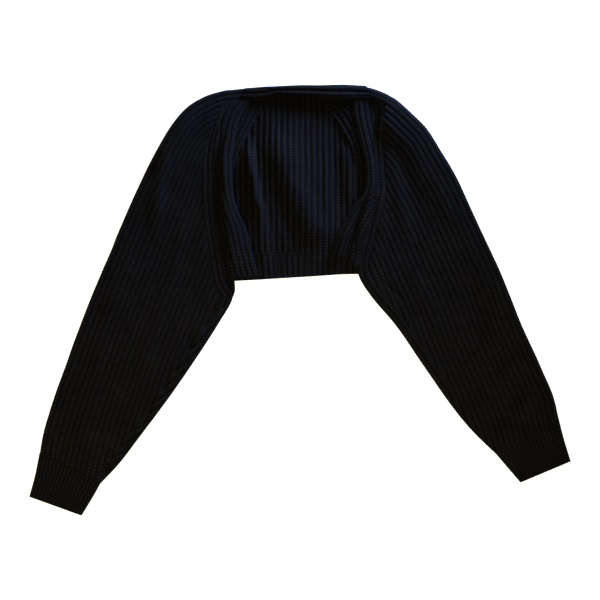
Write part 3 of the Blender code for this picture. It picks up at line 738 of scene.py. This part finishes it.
# How deep the under layer's ribs are beside the top's, and how far each layer's face is sunk
CUFF_UNDER_SHARE, CUFF_UNDER_SINK, CUFF_TOP_SINK = 0.55, 1.0, 0.35
CUFF_LINING_SHARES = [0, 0.04, 0.07, 0.25, 0.5, 0.75, 1]
# Two more columns round the fold
CUFF_FOLD_SHARES = [-0.012, -0.006]
# outer x, outer y, inner x, inner y, height
CUFF_LEFT = [
    (-391, -228, -300, -276, 6.8),
    (-398, -263, -313, -299, 6.6),
    (-407, -295, -328, -323.7, 6.4),
]
CUFF_RIGHT = [
    (388, -175, 295, -232, 6.8),
    (396, -207, 312, -252, 6.6),
    (407, -242, 331, -274, 6.4),
]


def cuff_sheet(table, rows, shares, lining=False):
    """The places of a cuff's columns: shares of its width, below 0 on the under layer."""
    fine = along(table, np.linspace(0, 1, rows))
    outer_edge = fine[:, None, 0:2]
    across = fine[:, None, 2:4] - outer_edge
    width = np.linalg.norm(across, axis=2)
    height = fine[:, None, 4]
    radius = height / 2
    share = np.broadcast_to(abs(shares)[None, :], (rows, len(shares)))
    place = outer_edge + across * share[..., None]
    round_off = np.sqrt(1 - np.clip(1 - share * width / radius, 0, 1) ** 2)
    edge_round = 1 - smooth_step((1 - share) * width / UNDERARM_ROUND)
    top = height - edge_round * (height - UNDERARM_EDGE_TOP)
    if lining:
        near_fold = smooth_step((share * width - WALL) / (radius * LINING_ROUND))
        top = radius + (np.maximum(top - WALL, WALL + LAYER_GAP) - radius) * near_fold
        under = radius + (WALL - radius) * near_fold
    else:
        top = radius + (top - radius) * round_off
        under = radius * (1 - round_off)
    level = np.where(shares[None, :] >= 0, top, under)
    return np.dstack([place, level]), share * width * np.sign(shares)[None, :], radius


def cuff(name, table, node, material):
    length = math.hypot(table[-1][0] - table[0][0], table[-1][1] - table[0][1])
    courses = round(length / CUFF_COURSE_LENGTH)
    top = np.arange(CUFF_RIBS * RIB_COLUMNS + 1) / (CUFF_RIBS * RIB_COLUMNS)
    under_columns = CUFF_RIBS * CUFF_UNDER_COLUMNS
    under = -np.arange(under_columns, 0, -1) / under_columns
    shares = np.concatenate([under, CUFF_FOLD_SHARES, top])
    rows = courses * COURSE_ROWS + 1
    base, offset, radius = cuff_sheet(table, rows, shares)
    run = np.linspace(0, courses * COURSE, rows)[:, None]
    phase = shares[None, :] * CUFF_RIBS + 0.05 * np.sin(run / 19)
    relief = rib_stitches(phase, run, depth=1.7, stitch=0.5)
    over = smooth_step((offset + radius) / (2 * radius))
    sunk = CUFF_UNDER_SINK * (1 - over) + CUFF_TOP_SINK * over
    relief = relief * (CUFF_UNDER_SHARE + (1 - CUFF_UNDER_SHARE) * over) - sunk
    face = lifted(base, relief)
    face[..., 2] = np.maximum(face[..., 2], 0.0)
    face = with_knit(face, shares[None, :] * CUFF_RIBS * RIB_PITCH, run)
    shares = np.array([-share for share in CUFF_LINING_SHARES[:0:-1]] + CUFF_LINING_SHARES)
    lining, offset, radius = cuff_sheet(table, courses + 1, shares, lining=True)
    fold = len(CUFF_LINING_SHARES) - 1
    toward = lining[:, fold + 1, :2] - lining[:, fold, :2]
    lining[:, fold, :2] += toward / np.linalg.norm(toward, axis=1, keepdims=True) * WALL
    lining = with_knit(lining, offset, run[::COURSE_ROWS])
    piece = knitted_wall(name, face, lining, node, material)


cuff("cuff_left_rib", CUFF_LEFT, "cuff_left", hem_knit)
cuff("cuff_right_rib", CUFF_RIGHT, "cuff_right", hem_knit)

# The fronts. Each is a narrow strip of the body rib between the raglan seam and a free edge. Its
# ribs fan out towards the hem. The strips buckle, so a raised fold runs down each.
FRONT_COLUMNS = 64
FRONT_SAMPLES = 120
SPINE_SAMPLES = 200
FRONT_SINK = 0.5
FRONT_LINING_DROP = WALL + 0.3
# x, y, height of the cloth's face, five times, from the raglan seam to the free edge
FRONT_LEFT = [
    (-92.8, 300.2, 9, -88, 299.8, 9.5, -83, 299.5, 9, -78, 299.2, 8, -73.5, 299, 6),
    (-112, 276, 9, -107, 274.5, 10, -102, 273, 10, -97, 271.5, 9, -91, 270, 6.5),
    (-123, 246, 9, -120, 245, 8.5, -116, 242, 9, -109, 239, 12, -98, 236, 8.5),
    (-129, 216, 9, -126, 215, 7.5, -122, 213, 8, -113, 212, 15, -101, 209, 10),
    (-129, 184, 9, -126, 182, 6, -122, 181, 6, -113, 178, 18, -101, 174, 12),
    (-129, 153, 9, -125, 151, 5, -121, 149, 5, -112, 145, 18, -95, 140, 11),
    (-126, 118, 9, -122, 116, 4.5, -118, 115, 5, -107, 110, 17, -81, 109, 10),
    (-120, 81, 9, -116, 79, 4.5, -112, 77, 5, -102, 74, 15, -72, 74, 9),
    (-111, 34, 8, -108, 33, 6, -105, 32, 6, -96, 33, 12, -62, 37, 8),
]
FRONT_RIGHT = [
    (108.6, 299.2, 9.5, 101, 299.2, 11, 94, 299.2, 12, 86, 299.2, 12, 79, 299.2, 10.5),
    (109.5, 279, 9, 102, 278.5, 11.5, 95, 278, 12.5, 88, 277.5, 12.5, 81, 277, 10.5),
    (108, 256, 9, 103, 255, 12, 97, 254, 13, 91, 254, 12.5, 86, 253, 10.5),
    (107, 228, 9.5, 104, 226, 13, 100, 226, 13.5, 96, 225, 12.5, 93, 224, 10),
    (109, 198, 10, 107, 197, 13, 104, 196, 13.5, 101, 196, 12, 98, 196, 9),
    (111, 166, 10, 107, 165, 13.5, 103, 164, 12, 99, 163, 12.5, 96, 163, 10),
    (106, 139, 10, 100, 139, 14, 92, 139, 6, 86, 139, 14.5, 79, 138, 10),
    (97, 103, 9.5, 90, 103, 14.5, 81, 103, 4, 70, 103, 15, 59, 103, 10),
    (91, 84, 9, 83, 83, 13.5, 74, 83, 4, 62, 85, 14, 52, 86, 9.5),
    (85, 49, 8.5, 77, 56, 11, 68, 63, 5, 57, 66, 12, 46, 70, 8.5),
]


def front_sheet(table, seam, rows, columns):
    """A front's sections at even steps, and each column's distance from the free edge."""
    sections = along(table, np.linspace(0, 1, rows)).reshape(rows, -1, 3)
    share = np.linspace(0, 1, columns)
    points, across = [], []
    for section in sections:
        section[0, :2] = seam[np.argmin(np.hypot(*(seam - section[0, :2]).T))]
        fine = along(section, np.linspace(0, 1, FRONT_SAMPLES))
        steps = np.linalg.norm(np.diff(fine, axis=0), axis=1)
        length = np.concatenate([[0.0], np.cumsum(steps)])
        even = share * length[-1]
        points.append(np.column_stack([np.interp(even, length, axis) for axis in fine.T]))
        across.append(length[-1] - even)
    return np.stack(points), np.stack(across)


def front(name, table, seam, node):
    spine = along(table, np.linspace(0, 1, SPINE_SAMPLES))[:, 6:8]
    length = np.hypot(*np.diff(spine, axis=0).T).sum()
    rows = round(length / COURSE) * COURSE_ROWS + 1
    face, across = front_sheet(table, seam, rows, FRONT_COLUMNS + 1)
    run = np.linspace(0, length, rows)[:, None]
    phase = across / RIB_PITCH + 0.04 * np.sin(run / 23)
    face = lifted(face, rib_stitches(phase, run) - FRONT_SINK)
    face = with_knit(face, phase * RIB_PITCH, run)
    lining, across = front_sheet(table, seam, rows // COURSE_ROWS + 1, FRONT_COLUMNS // 4 + 1)
    lining[..., 2] -= FRONT_LINING_DROP
    lining = with_knit(lining, across, run[::COURSE_ROWS])
    piece = knitted_wall(name, face, lining, node, body_knit)


seam = seam_line(SLEEVE_LEFT, TOP_END, SEAM_LAP, LEFT_NECK_ROW, LEFT_ARMPIT_ROW)
front("front_left_rib", FRONT_LEFT, seam, "front_left")
seam = seam_line(SLEEVE_RIGHT, TOP_END, -SEAM_LAP, RIGHT_NECK_ROW, RIGHT_ARMPIT_ROW)
front("front_right_rib", FRONT_RIGHT, seam, "front_right")

# The neckband. It is a strip of rib sewn round the neck in two lengths, which meet at the centre
# back. It rolls over along its length and stands up from the back, so its ribs run along it.
NECKBAND_WALL = 2.6
NECKBAND_COLUMNS = 44
# The band's ribs are drawn together a little, and fade out where it meets the floor
BAND_SQUEEZE, BAND_SINK, BAND_FADE = 0.95, 0.6, 3.0
# outer x, outer y, inner x, inner y, foot height, band height, from the join outwards
NECKBAND_LEFT = [
    (22.0, 322, 22.0, 304, 0.0, 18),
    (-2, 322, -2, 305, 0.0, 18),
    (-25, 321, -25, 306, 0.0, 17),
    (-38, 320.4, -38, 305, 0.0, 16),
    (-50, 319.8, -49, 303.2, 2.8, 15),
    (-62, 319, -61, 301, 3.0, 13.5),
    (-73, 318.2, -75, 300.6, 3.0, 11.5),
    (-83.5, 317.2, -89.6, 301.4, 3.0, 9.5),
]
NECKBAND_RIGHT = [
    (21.7, 322, 21.7, 304, 0.0, 18),
    (34, 322, 34, 302, 3.0, 18),
    (50, 322.5, 50, 300.6, 3.0, 18),
    (66, 322.8, 68, 300.4, 3.0, 18),
    (81, 322, 87, 300.4, 3.0, 17),
    (98.5, 321.0, 108.5, 300.2, 3.2, 17),
]
# The band's face: share of the width, share of the height
BAND_FACE = [
    (0.0, 0.0),
    (0.03, 0.55),
    (0.14, 0.86),
    (0.30, 0.97),
    (0.44, 0.90),
    (0.52, 0.80),
    (0.62, 0.93),
    (0.78, 1.0),
    (0.92, 0.80),
    (1.0, 0.0),
]
BAND_LINING = [(0.0, 0.0), (0.10, 0.72), (0.5, 0.92), (0.90, 0.80), (1.0, 0.0)]


def band_sheet(table, rows, profile, wall):
    sections = along(table, np.linspace(0, 1, rows))
    outer_foot, inner_foot = sections[:, None, 0:2], sections[:, None, 2:4]
    width = np.linalg.norm(outer_foot - inner_foot, axis=2)
    across = (outer_foot - inner_foot) / width[..., None]
    base = np.maximum(sections[:, None, 4], 0.0)
    height = sections[:, None, 5]
    offset = wall + (width - 2 * wall) * profile[None, :, 0]
    place = inner_foot + across * offset[..., None]
    return np.dstack([place, base + (height - base - wall) * profile[None, :, 1]])


def neckband(name, table, node, material):
    spine = along(table, np.linspace(0, 1, SPINE_SAMPLES))[:, 0:2]
    length = np.hypot(*np.diff(spine, axis=0).T).sum()
    rows = round(length / COURSE) * COURSE_ROWS + 1
    profile = along(BAND_FACE, np.linspace(0, 1, NECKBAND_COLUMNS + 1))
    face = band_sheet(table, rows, profile, 0.0)
    steps = np.linalg.norm(np.diff(face, axis=1), axis=2)
    girth = np.concatenate([np.zeros((rows, 1)), np.cumsum(steps, axis=1)], axis=1)
    run = np.linspace(0, length, rows)[:, None]
    phase = girth / (RIB_PITCH * BAND_SQUEEZE)
    relief = rib_stitches(phase, run, depth=1.5, stitch=0.8) - BAND_SINK
    face = lifted(face, relief * smooth_step(face[..., 2] / BAND_FADE))
    face[..., 2] = np.maximum(face[..., 2], 0.0)
    face = with_knit(face, girth / BAND_SQUEEZE, run)
    profile = np.array(BAND_LINING, float)
    lining = band_sheet(table, rows // COURSE_ROWS + 1, profile, NECKBAND_WALL)
    lining = with_knit(lining, 0, run[::COURSE_ROWS])
    piece = knitted_wall(name, face, lining, node, material)


band_knit = rib_knit("neckband_knit")
neckband("neckband_left_rib", NECKBAND_LEFT, "neckband_left", band_knit)
neckband("neckband_right_rib", NECKBAND_RIGHT, "neckband_right", band_knit)

# The stage. It is a floor of matt white paper under three soft lights: a low, bluish one from a
# window at the upper right, a warm one above the lower left, and a weak neutral one on the right.
PAPER, PAPER_ROUGHNESS, PAPER_GLOW = "#f4f4f4", 0.9, 0.85
ROOM_COLOUR, ROOM_STRENGTH = "#9cbeff", 0.035
# The camera looks straight down, from this far above the middle of the shrug's thickness
LENS, SENSOR, CAMERA_DISTANCE, SHRUG_MIDDLE = 120.0, 36.0, 3.0, 0.008
bpy.ops.mesh.primitive_plane_add(size=60)
floor = bpy.context.object
floor.name = "floor"
# Matt white paper: it throws light back evenly, with no gloss.
paper = bpy.data.materials.new("matt_white_paper")
paper.use_nodes = True
finish = paper.node_tree.nodes["Principled BSDF"].inputs
finish["Base Color"].default_value = linear(PAPER)
finish["Roughness"].default_value = PAPER_ROUGHNESS
finish["Emission Color"].default_value = linear("#ffffff")
finish["Emission Strength"].default_value = PAPER_GLOW
floor.data.materials.append(paper)


def area_light(name, place, aim, size, spread, watts, code):
    data = bpy.data.lights.new(name, "AREA")
    data.size = size
    data.spread = math.radians(spread)
    data.energy = watts
    data.color = linear(code)[:3]
    lamp = bpy.data.objects.new(name, data)
    bpy.context.scene.collection.objects.link(lamp)
    lamp.location = place
    lamp.rotation_euler = (Vector(aim) - lamp.location).to_track_quat("-Z", "Y").to_euler()


# Each light: place, aim, size, spread in degrees, watts, colour
area_light("window_light", (0.47, 0.90, 0.24), (0.0, 0.30, 0.0), 0.3, 62, 3.9, "#a0c1ff")
area_light("warm_fill", (-0.75, -0.6, 2.0), (-0.25, -0.50, 0.0), 1.2, 60, 4.8, "#ffe69a")
area_light("room_fill", (0.9, -0.5, 1.6), (0.32, -0.22, 0.0), 0.8, 50, 1.1, "#fffae6")
world = bpy.data.worlds.new("room")
bpy.context.scene.world = world
world.use_nodes = True
room = world.node_tree.nodes["Background"].inputs
room["Color"].default_value = linear(ROOM_COLOUR)
room["Strength"].default_value = ROOM_STRENGTH
bpy.context.scene.view_settings.view_transform = "Standard"

lens = bpy.data.cameras.new("camera")
lens.sensor_width = SENSOR
lens.lens = LENS
camera = bpy.data.objects.new("camera", lens)
bpy.context.scene.collection.objects.link(camera)
camera.location = (0.0, 0.0, CAMERA_DISTANCE + SHRUG_MIDDLE)
bpy.context.scene.camera = camera
